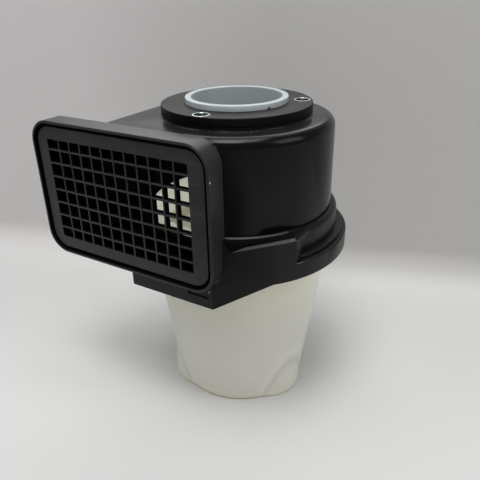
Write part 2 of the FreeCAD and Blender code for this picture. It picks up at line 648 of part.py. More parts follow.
def dust_cup():
    """Tapered cup with three foot lobes, a shoulder with the seal's seat, a neck and three lugs."""
    seat = drum(NECK_R + SLEEVE_WALL, Z_CUP_TOP - CUP_SEAL_THICK, Z_CUP_TOP + PAST)
    wide_top = Z_CUP_TOP - 2 * CUP_WALL
    neck = drum(NECK_R, wide_top, Z_NECK_TOP)
    shell = cup_form(0, 0, Z_CUP_TOP).cut(seat).fuse(neck)
    throat_r = NECK_R - CUP_WALL
    funnel = Part.makeCone(cup_outer_r(wide_top) - CUP_WALL, throat_r, CUP_WALL, Vector(0, 0, wide_top))
    throat = drum(throat_r, wide_top, Z_NECK_TOP + PAST)
    shell = shell.cut([cup_form(CUP_WALL, CUP_FLOOR, wide_top), funnel, throat])
    low = CUP_STAND + LUG_RISE
    lugs = [ring_sector(NECK_R - CUP_WALL / 2, NECK_R + LUG_REACH, low, low + LUG_HEIGHT,
                        turn - LUG_TURN / 2, LUG_TURN) for turn in around(LUG_COUNT, LUG_FIRST)]
    return one([shell] + lugs)


def cup_seal():
    """Flat ring in the shoulder of the cup, under the collar's sleeve."""
    bottom = Z_CUP_TOP - CUP_SEAL_THICK
    outer = drum(NECK_R + SLEEVE_WALL - FIT, bottom, Z_CUP_TOP)
    return outer.cut(drum(NECK_R, bottom - PAST, Z_CUP_TOP + PAST))


PIECES = (body_shell, grille_panel, grille_seal, grille_screws, outlet_flange, flange_gasket,
          flange_inserts, flange_screws, outlet_tube, tube_clip, tube_seal, collar, body_seal,
          dust_cup, cup_seal)


def main():
    """Build every piece and write one file for each."""
    os.makedirs("parts", exist_ok=True)
    for make in PIECES:
        shape = make()
        box = shape.BoundBox
        print(make.__name__, len(shape.Solids), shape.isValid(), round(shape.Volume),
              [round(v, 1) for v in (box.XMin, box.YMin, box.ZMin, box.XMax, box.YMax, box.ZMax)])
        shape.exportStep(os.path.join("parts", make.__name__ + ".step"))


main()
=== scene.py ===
"""Dressed scene of the cyclone air precleaner: finishes, fine pieces, studio and camera.

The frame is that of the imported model: Z up from the table, the cyclone's axis at X = Y = 0, the
inlet facing -Y. The pieces' classes hold millimetres, the studio's hold metres.
"""
import logging
import math
from collections.abc import Callable
from dataclasses import dataclass, field
from enum import Enum

import bmesh
import bpy
from mathutils import Matrix, Vector

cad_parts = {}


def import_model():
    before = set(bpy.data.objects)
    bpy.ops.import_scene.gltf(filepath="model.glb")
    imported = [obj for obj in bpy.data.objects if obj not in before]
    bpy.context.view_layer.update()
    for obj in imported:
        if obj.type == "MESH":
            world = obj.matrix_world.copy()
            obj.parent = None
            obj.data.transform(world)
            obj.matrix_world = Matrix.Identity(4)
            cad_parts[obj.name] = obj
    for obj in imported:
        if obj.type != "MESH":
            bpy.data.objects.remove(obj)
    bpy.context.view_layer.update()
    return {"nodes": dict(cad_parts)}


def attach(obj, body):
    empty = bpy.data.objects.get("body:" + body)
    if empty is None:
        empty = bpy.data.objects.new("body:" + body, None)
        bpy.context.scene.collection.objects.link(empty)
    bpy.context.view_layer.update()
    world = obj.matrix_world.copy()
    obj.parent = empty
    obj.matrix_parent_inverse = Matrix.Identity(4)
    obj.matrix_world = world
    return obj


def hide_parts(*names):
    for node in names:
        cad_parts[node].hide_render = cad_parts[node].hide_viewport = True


LOG = logging.getLogger("precleaner")
MM = 0.001
Colour = tuple[float, float, float, float]
Span = tuple[float, float]
Triple = tuple[float, float, float]
Node = bpy.types.Node
Socket = bpy.types.NodeSocket
ShaderTree = bpy.types.NodeTree
Material = bpy.types.Material
BMesh = bmesh.types.BMesh


class Body(Enum):
    """The two rigid bodies of the precleaner."""

    HEAD = "head"
    CUP = "cup"


def direction(azimuth: float, rise: float = 0.0) -> Vector:
    """Turn two angles into a direction.

    Args:
        azimuth: Angle round Z, from X towards Y, in degrees.
        rise: Angle above the level, in degrees.

    Returns:
        The unit vector.
    """
    turn, lift = math.radians(azimuth), math.radians(rise)
    level = math.cos(lift)
    return Vector((math.cos(turn) * level, math.sin(turn) * level, math.sin(lift)))


class NodeTree:
    """Thin helper round a shader node tree, so that materials read as short recipes."""

    def __init__(self, tree: ShaderTree) -> None:
        """Keep the tree that the nodes go into."""
        self.tree = tree

    def add(self, kind: str, **values: object) -> Node:
        """Add a node and set its properties and inputs.

        Args:
            kind: The node's type name.
            values: Properties of the node, or inputs by their lower-case name with underscores.

        Returns:
            The new node.
        """
        node = self.tree.nodes.new(kind)
        for name, value in values.items():
            if hasattr(node, name):
                setattr(node, name, value)
                continue
            wanted = name.replace("_", " ")
            socket = next(s for s in node.inputs if s.name.lower() == wanted and s.enabled)
            socket.default_value = value
        return node

    def link(self, source: Socket, target: Socket) -> None:
        """Join an output to an input."""
        self.tree.links.new(source, target)

    def place(self) -> Socket:
        """Return the place on the piece, in the frame of the model."""
        return self.add("ShaderNodeTexCoord").outputs["Object"]

    def group(self, tree: ShaderTree, **inputs: float | Triple) -> Node:
        """Add a shared node group with its inputs set."""
        return self.add("ShaderNodeGroup", node_tree=tree, **inputs)

    def noise(self, vector: Socket, **values: float) -> Node:
        """Add a noise texture over a vector.

        Args:
            vector: Where the noise is read.
            values: The texture's inputs, as in add.

        Returns:
            The new node.
        """
        node = self.add("ShaderNodeTexNoise", **values)
        self.link(vector, node.inputs["Vector"])
        return node

    def part(self, vector: Socket, axis: str) -> Socket:
        """Take one component of a vector.

        Args:
            vector: The vector.
            axis: X, Y or Z.

        Returns:
            The component.
        """
        split = self.add("ShaderNodeSeparateXYZ")
        self.link(vector, split.inputs[0])
        return split.outputs[axis]

    def distance(self, vector: Socket, point: Triple) -> Socket:
        """Measure how far a place lies from a point.

        Args:
            vector: The place.
            point: The point in metres.

        Returns:
            The distance in metres.
        """
        away = self.add("ShaderNodeVectorMath", operation="DISTANCE")
        self.link(vector, away.inputs[0])
        away.inputs[1].default_value = point
        return away.outputs["Value"]

    def map_range(self, source: Socket, low: float, high: float, out_low: float = 0.0,
                  out_high: float = 1.0) -> Socket:
        """Map a value from one range to another, clamped.

        Args:
            source: The value.
            low: Start of its range.
            high: End of its range.
            out_low: What the start becomes.
            out_high: What the end becomes.

        Returns:
            The mapped value.
        """
        node = self.add("ShaderNodeMapRange", from_min=low, from_max=high, to_min=out_low,
                        to_max=out_high)
        self.link(source, node.inputs["Value"])
        return node.outputs["Result"]

    def weaken(self, mask: Socket, amount: float) -> Socket:
        """Scale a mask down to an amount."""
        return self.map_range(mask, 0.0, 1.0, 0.0, amount)

    def math(self, operation: str, *values: Socket | float) -> Socket:
        """Reckon with values.

        Args:
            operation: The math node's operation.
            values: Its operands, each an output or a plain number.

        Returns:
            The result.
        """
        node = self.add("ShaderNodeMath", operation=operation)
        for socket, value in zip(node.inputs, values):
            if isinstance(value, float):
                socket.default_value = value
            else:
                self.link(value, socket)
        return node.outputs[0]

    def mix(self, factor: Socket, first: Socket | Colour, second: Socket | Colour) -> Socket:
        """Mix two colours by a mask.

        Args:
            factor: The mask.
            first: The colour where the mask is 0.
            second: The colour where the mask is 1.

        Returns:
            The mixed colour.
        """
        node = self.add("ShaderNodeMix", data_type="RGBA")
        self.link(factor, node.inputs[0])
        for index, colour in ((6, first), (7, second)):
            if isinstance(colour, tuple):
                node.inputs[index].default_value = colour
            else:
                self.link(colour, node.inputs[index])
        return node.outputs[2]

    def bump(self, height: Socket, strength: float, depth: float, shader: Node) -> None:
        """Give a shader a bump from a height field.

        Args:
            height: The field.
            strength: How much of it shows.
            depth: Its depth in metres.
            shader: The shader that takes it.
        """
        node = self.add("ShaderNodeBump", strength=strength, distance=depth)
        self.link(height, node.inputs["Height"])
        self.link(node.outputs["Normal"], shader.inputs["Normal"])


def new_material(name: str) -> tuple[Material, NodeTree, Node]:
    """Start a material.

    Args:
        name: The material's name.

    Returns:
        The material, its node tree and its shader.
    """
    material = bpy.data.materials.new(name)
    material.use_nodes = True
    return material, NodeTree(material.node_tree), material.node_tree.nodes["Principled BSDF"]


def new_group(name: str, inputs: dict[str, float | None], outputs: tuple[str, ...]
              ) -> tuple[NodeTree, Node, Node]:
    """Start a shader node group.

    Args:
        name: The group's name.
        inputs: The default of each input; None makes a vector input.
        outputs: The names of its outputs, all of them values.

    Returns:
        Its tree, its input node and its output node.
    """
    group = bpy.data.node_groups.new(name, "ShaderNodeTree")
    face = group.interface
    for label, default in inputs.items():
        if default is None:
            face.new_socket(label, in_out="INPUT", socket_type="NodeSocketVector")
        else:
            socket = face.new_socket(label, in_out="INPUT", socket_type="NodeSocketFloat")
            socket.default_value = default
    for label in outputs:
        face.new_socket(label, in_out="OUTPUT", socket_type="NodeSocketFloat")
    net = NodeTree(group)
    return net, net.add("NodeGroupInput"), net.add("NodeGroupOutput")


def make_grain_group() -> ShaderTree:
    """Build the shared group for moulded plastic: fine grain, slow waves and sparse dust specks.

    Returns:
        A node group with Scale, Speck Amount inputs and Height, Mottle, Specks outputs.
    """
    speck_size, speck_rarity = 0.09, 0.93
    net, entry, leave = new_group("Moulded grain", {"Scale": 900.0, "Speck Amount": 0.5},
                                  ("Height", "Mottle", "Specks"))
    place = net.place()
    fine = net.noise(place, detail=3.0, roughness=0.6)
    net.link(entry.outputs["Scale"], fine.inputs["Scale"])
    slow = net.noise(place, scale=28.0, detail=3.0, roughness=0.55)
    cells = net.add("ShaderNodeTexVoronoi", scale=260.0, randomness=1.0)
    net.link(place, cells.inputs["Vector"])
    size = net.math("MULTIPLY", entry.outputs["Speck Amount"], speck_size)
    near = net.math("LESS_THAN", cells.outputs["Distance"], size)
    chance = net.add("ShaderNodeTexWhiteNoise")
    net.link(cells.outputs["Position"], chance.inputs["Vector"])
    picked = net.math("GREATER_THAN", chance.outputs["Value"], speck_rarity)
    net.link(fine.outputs["Fac"], leave.inputs["Height"])
    net.link(slow.outputs["Fac"], leave.inputs["Mottle"])
    net.link(net.math("MULTIPLY", near, picked), leave.inputs["Specks"])
    return net.tree


def make_handling_group() -> ShaderTree:
    """Build the shared group for handling marks: a patchy film and fine hairline scratches.

    Returns:
        A node group with Film Scale, Scratch Turn inputs and Film, Scratches outputs.
    """
    stretch = (6.0, 90.0, 90.0)
    net, entry, leave = new_group("Handling marks", {"Film Scale": 40.0, "Scratch Turn": None},
                                  ("Film", "Scratches"))
    place = net.place()
    film = net.noise(place, detail=6.0, roughness=0.62, distortion=0.4)
    net.link(entry.outputs["Film Scale"], film.inputs["Scale"])
    net.link(net.map_range(film.outputs["Fac"], 0.46, 0.72), leave.inputs["Film"])
    turned = net.add("ShaderNodeMapping")
    turned.inputs["Scale"].default_value = stretch
    net.link(place, turned.inputs["Vector"])
    net.link(entry.outputs["Scratch Turn"], turned.inputs["Rotation"])
    lines = net.noise(turned.outputs["Vector"], scale=9.0, detail=2.0, roughness=0.5)
    net.link(net.map_range(lines.outputs["Fac"], 0.66, 0.70), leave.inputs["Scratches"])
    return net.tree


def make_dust_and_sheen_group() -> ShaderTree:
    """Build the shared group for settled dust and painted sheen, which lie on faces that look up.

    Returns:
        A node group with an Amount input and one output, the mask of dust and painted sheen.
    """
    net, entry, leave = new_group("Settled dust and painted sheen", {"Amount": 0.5}, ("Dust",))
    normal = net.add("ShaderNodeTexCoord").outputs["Normal"]
    # Faces that look up are painted lighter: partly settled dust, partly painted sheen of the light
    # from above.
    upward = net.map_range(net.part(normal, "Z"), 0.75, 0.99)
    cloud = net.noise(net.place(), scale=45.0, detail=5.0, roughness=0.6)
    patchy = net.map_range(cloud.outputs["Fac"], 0.3, 0.7, 0.75, 1.0)
    lying = net.math("MULTIPLY", upward, patchy)
    net.link(net.math("MULTIPLY", lying, entry.outputs["Amount"]), leave.inputs["Dust"])
    return net.tree


@dataclass(frozen=True)
class TextureSet:
    """The shared node groups."""

    grain: ShaderTree
    handling: ShaderTree
    dust: ShaderTree


@dataclass(frozen=True)
class Mark:
    """A small mark on a surface: a chip, a dull spot, a ring or a painted glint, at a place in
    millimetres.
    """

    place: Triple
    size: float
    shade: Colour
    ring: float = 0.0
    core: float = 0.75
    hollow_core: float = 0.8

    def paint(self, net: NodeTree, shade: Socket) -> Socket:
        """Lay the mark over a colour.

        Args:
            net: The node tree of the material.
            shade: The colour so far.

        Returns:
            The colour with the mark.
        """
        away = net.distance(net.place(), tuple(value * MM for value in self.place))
        size = self.size * MM
        mask = net.map_range(away, size * self.core, size, 1.0, 0.0)
        if self.ring > 0.0:
            hollow = (self.size - self.ring) * MM
            outside = net.map_range(away, hollow * self.hollow_core, hollow)
            mask = net.math("MULTIPLY", mask, outside)
        return net.mix(mask, shade, self.shade)


@dataclass(frozen=True)
class PlasticFinish:
    """Moulded plastic: two close shades, gloss that varies slowly, grain, film, dust with painted
    sheen on tops, and specks.
    """

    name: str
    dark: Colour
    light: Colour
    rough: Span
    grain_scale: float
    grain_depth: float
    specks: float = 0.0
    film: float = 0.0
    scratches: float = 0.0
    gloss: float = 0.5
    dust: float = 0.0
    marks: tuple[Mark, ...] = ()
    film_colour: Colour = (0.10, 0.10, 0.098, 1.0)
    dust_and_sheen_colour: Colour = (0.145, 0.143, 0.138, 1.0)
    speck_colour: Colour = (0.30, 0.29, 0.28, 1.0)
    film_dulls: float = 0.35
    dust_and_sheen_dulls: float = 0.3

    def build(self, textures: TextureSet) -> Material:
        """Make the material.

        Args:
            textures: The shared node groups.

        Returns:
            The finished material.
        """
        material, net, shader = new_material(self.name)
        shader.inputs["IOR"].default_value = 1.5
        shader.inputs["Specular IOR Level"].default_value = self.gloss
        grain = net.group(textures.grain, scale=self.grain_scale, speck_amount=self.specks)
        marks = net.group(textures.handling, scratch_turn=(0.2, 0.3, 0.9))
        dust = net.group(textures.dust, amount=self.dust)
        shade = net.mix(grain.outputs["Mottle"], self.dark, self.light)
        film = net.weaken(marks.outputs["Film"], self.film)
        shade = net.mix(film, shade, self.film_colour)
        scratch = net.weaken(marks.outputs["Scratches"], self.scratches)
        shade = net.mix(scratch, shade, self.film_colour)
        # Dust and painted sheen: faces that look up are painted lighter.
        shade = net.mix(dust.outputs["Dust"], shade, self.dust_and_sheen_colour)
        shade = net.mix(grain.outputs["Specks"], shade, self.speck_colour)
        for mark in self.marks:
            shade = mark.paint(net, shade)
        net.link(shade, shader.inputs["Base Color"])
        rough = net.map_range(grain.outputs["Mottle"], 0.3, 0.7, *self.rough)
        rough = net.math("MULTIPLY_ADD", film, self.film_dulls, rough)
        rough = net.math("MULTIPLY_ADD", dust.outputs["Dust"], self.dust_and_sheen_dulls, rough)
        net.link(rough, shader.inputs["Roughness"])
        net.bump(grain.outputs["Height"], 0.25, self.grain_depth, shader)
        return material


@dataclass(frozen=True)
class CupLook:
    """What the cup's plastic has beyond the tube's: painted light on a yellower head, painted
    highlight and shade along the lobes, and a painted glow from within.
    """

    painted_lit_head: Colour = (0.96, 0.95, 0.81, 1.0)
    head_heights: Span = (60.0, 105.0)
    arch_highlight_tint: Colour = (0.97, 0.97, 0.93, 1.0)
    crease_shade_tint: Colour = (0.60, 0.59, 0.53, 1.0)
    painted_line_strength: float = 0.45
    neck_glow: Colour = (0.16, 0.16, 0.158, 1.0)
    neck_heights: Span = (112.0, 116.0)
    wall_glow: Colour = (0.034, 0.033, 0.028, 1.0)
    foot_glow: Colour = (0.15, 0.13, 0.085, 1.0)
    foot_height: float = 4.0

    def paint(self, net: NodeTree, shade: Socket, shader: Node) -> Socket:
        """Lay the painted light and shade over a colour and give the shader a painted glow from
        within.

        Args:
            net: The node tree of the material.
            shade: The colour so far.
            shader: The shader that takes the glow.

        Returns:
            The colour with the look.
        """
        height = net.part(net.place(), "Z")
        low, high = (value * MM for value in self.head_heights)
        # Painted light: the upper part is painted lighter and yellower.
        shade = net.mix(net.map_range(height, low, high), shade, self.painted_lit_head)
        # Painted highlight along the lobes' arch and painted shade along their crease.
        for name, tint in (("arch_highlight", self.arch_highlight_tint), ("crease_shade", self.crease_shade_tint)):
            line = net.add("ShaderNodeAttribute", attribute_name=name)
            shade = net.mix(net.weaken(line.outputs["Fac"], self.painted_line_strength), shade, tint)
        # Painted glow: the neck, the foot and the wall give off light of their own.
        low, high = (value * MM for value in self.neck_heights)
        neck = net.map_range(height, low, high)
        foot = net.map_range(height, 0.0, self.foot_height * MM, 1.0, 0.0)
        low_glow = net.mix(foot, self.wall_glow, self.foot_glow)
        net.link(net.mix(neck, low_glow, self.neck_glow), shader.inputs["Emission Color"])
        shader.inputs["Emission Strength"].default_value = 1.0
        return shade


@dataclass(frozen=True)
class MilkyFinish:
    """Milky translucent plastic that lets soft light through."""

    name: str
    shade: Colour
    light: Colour
    rough: float
    clear: float
    look: CupLook | None = None
    marks: tuple[Mark, ...] = ()
    film_dulls: float = 0.12

    def build(self, textures: TextureSet) -> Material:
        """Make the material.

        Args:
            textures: The shared node groups.

        Returns:
            The finished material.
        """
        material, net, shader = new_material(self.name)
        shader.inputs["Transmission Weight"].default_value = self.clear
        shader.inputs["IOR"].default_value = 1.45
        grain = net.group(textures.grain, scale=500.0, speck_amount=0.0)
        marks = net.group(textures.handling, film_scale=22.0)
        shade = net.mix(grain.outputs["Mottle"], self.shade, self.light)
        if self.look is not None:
            shade = self.look.paint(net, shade, shader)
        for mark in self.marks:
            shade = mark.paint(net, shade)
        net.link(shade, shader.inputs["Base Color"])
        dull = self.rough + self.film_dulls
        rough = net.map_range(marks.outputs["Film"], 0.0, 1.0, self.rough, dull)
        net.link(rough, shader.inputs["Roughness"])
        net.bump(grain.outputs["Mottle"], 0.15, 0.0001, shader)
        return material


@dataclass(frozen=True)
class MetalFinish:
    """Plated steel, or darker steel for the threads, with fine turning marks."""

    name: str
    shade: Colour
    light: Colour
    rough: Span

    def build(self, textures: TextureSet) -> Material:
        """Make the material.

        Args:
            textures: The shared node groups.

        Returns:
            The finished material.
        """
        material, net, shader = new_material(self.name)
        shader.inputs["Metallic"].default_value = 1.0
        grain = net.group(textures.grain, scale=2500.0, speck_amount=0.0)
        shade = net.mix(grain.outputs["Height"], self.shade, self.light)
        net.link(shade, shader.inputs["Base Color"])
        rough = net.map_range(grain.outputs["Height"], 0.3, 0.7, *self.rough)
        net.link(rough, shader.inputs["Roughness"])
        return material


@dataclass(frozen=True)
class Palette:
    """The finishes of the precleaner, built once."""

    shell: Material
    collar: Material
    inside: Material
    edge: Material
    rim: Material
    disc: Material
    panel: Material
    tube: Material
    shaded_bore: Material
    rubber: Material
    steel: Material
    thread: Material
    milky: Material

    @classmethod
    def make(cls) -> "Palette":
        """Build every finish.

        Returns:
            The palette.
        """
        textures = TextureSet(make_grain_group(), make_handling_group(), make_dust_and_sheen_group())
        rim_marks = (Mark((24.4, -68.45, 171.7), 0.75, (0.45, 0.45, 0.46, 1)),
                     Mark((24.4, -67.9, 168.4), 1.5, (0.030, 0.030, 0.032, 1), ring=0.5),
                     Mark((24.4, -66.0, 147.0), 1.1, (0.022, 0.022, 0.024, 1)),
                     Mark((24.4, -61.0, 150.5), 0.8, (0.020, 0.020, 0.022, 1)))
        # Painted glint: a pale spot where the notch's right corner catches the light.
        notch_glint = (Mark((15.3, -61.5, 99.2), 0.7, (0.60, 0.60, 0.62, 1)),)
        tube_marks = (Mark((28.5, -12.3, 198.8), 1.3, (0.02, 0.02, 0.02, 1)),)
        finishes = {
            "shell": PlasticFinish(
                "black shell", (0.0015, 0.0015, 0.0016, 1), (0.003, 0.003, 0.0031, 1), (0.17, 0.23),
                1500.0, 0.00002, specks=0.08, film=0.02, scratches=0.03, gloss=0.19, dust=0.07),
            "collar": PlasticFinish(
                "black collar", (0.004, 0.004, 0.0042, 1), (0.007, 0.007, 0.0072, 1), (0.30, 0.40),
                1500.0, 0.00004, specks=0.10, film=0.04, scratches=0.06, gloss=0.22,
                marks=notch_glint),
            # Painted highlight: the chin's bevel and the collar lip's line are painted lighter than
            # the collar.
            "edge": PlasticFinish(
                "painted highlight edge", (0.040, 0.043, 0.043, 1), (0.056, 0.060, 0.060, 1), (0.25, 0.35),
                1500.0, 0.00003, gloss=0.4),
            # Painted shade: faces inside the chamber, the duct, the grille and the hollow above the
            # chin take this dark, dull finish.
            "inside": PlasticFinish(
                "black inside with painted shade", (0.0015, 0.0015, 0.0015, 1), (0.0025, 0.0025, 0.0025, 1),
                (0.75, 0.9), 1500.0, 0.00004, gloss=0.08),
            "rim": PlasticFinish(
                "matt black rim", (0.020, 0.020, 0.0202, 1), (0.028, 0.028, 0.0282, 1),
                (0.30, 0.38), 1500.0, 0.00004, specks=0.12, film=0.05, scratches=0.1, gloss=0.26,
                dust=0.11, marks=rim_marks),
            "disc": PlasticFinish(
                "turned black disc", (0.0015, 0.0015, 0.0015, 1), (0.003, 0.003, 0.003, 1),
                (0.40, 0.50), 2200.0, 0.00005, specks=0.2, film=0.03, scratches=0.05, gloss=0.10,
                dust=0.17),
            "panel": PlasticFinish(
                "black grille", (0.012, 0.012, 0.012, 1), (0.017, 0.017, 0.017, 1), (0.34, 0.44),
                1500.0, 0.00005, specks=0.2, film=0.18, scratches=0.25, gloss=0.38, dust=0.5),
            "rubber": PlasticFinish(
                "seal rubber", (0.003, 0.003, 0.003, 1), (0.005, 0.005, 0.005, 1), (0.7, 0.8),
                2000.0, 0.00006, gloss=0.15),
            "tube": MilkyFinish(
                "bluish white tube", (0.58, 0.63, 0.65, 1), (0.64, 0.69, 0.71, 1), 0.35, 0.25,
                marks=tube_marks),
            # Painted shade: the tube's bore is a darker copy of the tube's plastic.
            "shaded_bore": MilkyFinish(
                "tube bore", (0.40, 0.45, 0.465, 1), (0.45, 0.50, 0.515, 1), 0.4, 0.2),
            "milky": MilkyFinish(
                "milky cup", (0.83, 0.83, 0.775, 1), (0.88, 0.88, 0.825, 1), 0.28, 0.35,
                look=CupLook()),
            "steel": MetalFinish(
                "plated steel", (0.60, 0.66, 0.64, 1), (0.74, 0.79, 0.77, 1), (0.25, 0.4)),
            "thread": MetalFinish(
                "dark thread", (0.012, 0.022, 0.021, 1), (0.03, 0.045, 0.043, 1), (0.35, 0.5)),
        }
        return cls(**{name: finish.build(textures) for name, finish in finishes.items()})


def finished_mesh(name: str, work: BMesh, *materials: Material) -> bpy.types.Mesh:
    """Turn a bmesh into a mesh with its finishes.

    Args:
        name: The mesh's name.
        work: The bmesh, freed here.
        materials: Its finishes, in the order of the faces' material numbers.

    Returns:
        The mesh.
    """
    mesh = bpy.data.meshes.new(name)
    work.to_mesh(mesh)
    work.free()
    for material in materials:
        mesh.materials.append(material)
    return mesh


def add_object(name: str, data: bpy.types.ID) -> bpy.types.Object:
    """Put a new object into the scene.

    Args:
        name: The object's name.
        data: Its mesh, camera or lamp.

    Returns:
        The object.
    """
    made = bpy.data.objects.new(name, data)
    bpy.context.scene.collection.objects.link(made)
    return made


def stand_in(work: BMesh, name: str, materials: list[Material], body: Body,
             *nodes: str, angle: float = 28.0) -> bpy.types.Object:
    """Turn a bmesh into a smooth-shaded piece that rides on a body and replaces its nodes.

    Args:
        work: The piece's mesh, freed here.
        name: The piece's name.
        materials: Its finishes, in the order of the faces' material numbers.
        body: The body that it rides on.
        nodes: The nodes that it stands for.
        angle: Faces that meet more steeply than this, in degrees, keep a sharp edge.

    Returns:
        The piece.
    """
    limit = math.radians(angle)
    for face in work.faces:
        face.smooth = True
    for edge in work.edges:
        edge.smooth = len(edge.link_faces) == 2 and edge.calc_face_angle(0.0) < limit
    mesh = finished_mesh(name, work, *materials)
    piece = add_object(name, mesh)
    if nodes:
        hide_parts(*nodes)
    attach(piece, body.value)
    LOG.info("%s: %d faces", name, len(mesh.polygons))
    return piece


def welded(node: str) -> BMesh:
    """Copy a node's loose triangles and weld them.

    Args:
        node: The node's name.

    Returns:
        The copy.
    """
    work = bmesh.new()
    work.from_mesh(bpy.data.objects[node].data)
    bmesh.ops.remove_doubles(work, verts=work.verts, dist=1e-6)
    return work


def smooth_copy(node: str, body: Body, *materials: Material,
                choose: Callable[[Vector, Vector], int] | None = None) -> bpy.types.Object:
    """Stand a welded, smooth-shaded copy in for a node.

    Args:
        node: The node's name.
        body: The body that it rides on.
        materials: Its finishes.
        choose: Gives a face's finish number from its middle in millimetres and its normal.

    Returns:
        The copy.
    """
    work = welded(node)
    for face in work.faces:
        face.material_index = choose(face.calc_center_median() / MM, face.normal) if choose else 0
    return stand_in(work, node + "_skin", list(materials), body, node)


def spin_profile(points: list[Span], steps: int, centre: Vector | None = None,
                 closed: bool = True) -> BMesh:
    """Spin a profile of (radius, height) points in millimetres full round an upright axis.

    Args:
        points: The profile; points at radius 0 become poles.
        steps: How many steps go round.
        centre: Where the axis stands, in metres.
        closed: Whether the last point joins the first.

    Returns:
        The spun mesh, with its normals pointing outwards.
    """
    work = bmesh.new()
    verts = [work.verts.new((radius * MM, 0.0, height * MM)) for radius, height in points]
    pairs = list(zip(verts, verts[1:]))
    if closed:
        pairs.append((verts[-1], verts[0]))
    edges = [work.edges.new(pair) for pair in pairs]
    bmesh.ops.spin(work, geom=verts + edges, cent=(0, 0, 0), axis=(0, 0, 1), angle=math.tau,
                   steps=steps, use_merge=True)
    bmesh.ops.remove_doubles(work, verts=work.verts, dist=1e-7)
    bmesh.ops.recalc_face_normals(work, faces=work.faces)
    if centre is not None:
        bmesh.ops.translate(work, verts=work.verts, vec=centre)
    return work


def arc_points(centre: Span, radius: float, start: float, end: float,
               count: int) -> list[Span]:
    """Return points along an arc of a profile.

    Args:
        centre: The arc's centre as (radius, height).
        radius: The arc's radius.
        start: First angle in degrees, from the outward direction.
        end: Last angle.
        count: How many points.

    Returns:
        The points.
    """
    points = []
    for i in range(count):
        angle = math.radians(start + (end - start) * i / (count - 1))
        points.append((centre[0] + radius * math.cos(angle), centre[1] + radius * math.sin(angle)))
    return points


def absorb(work: BMesh, single: BMesh) -> None:
    """Add one mesh to another.

    Args:
        work: The mesh that grows.
        single: The mesh that it takes in, freed here.
    """
    part = finished_mesh("part", single)
    work.from_mesh(part)
    bpy.data.meshes.remove(part)


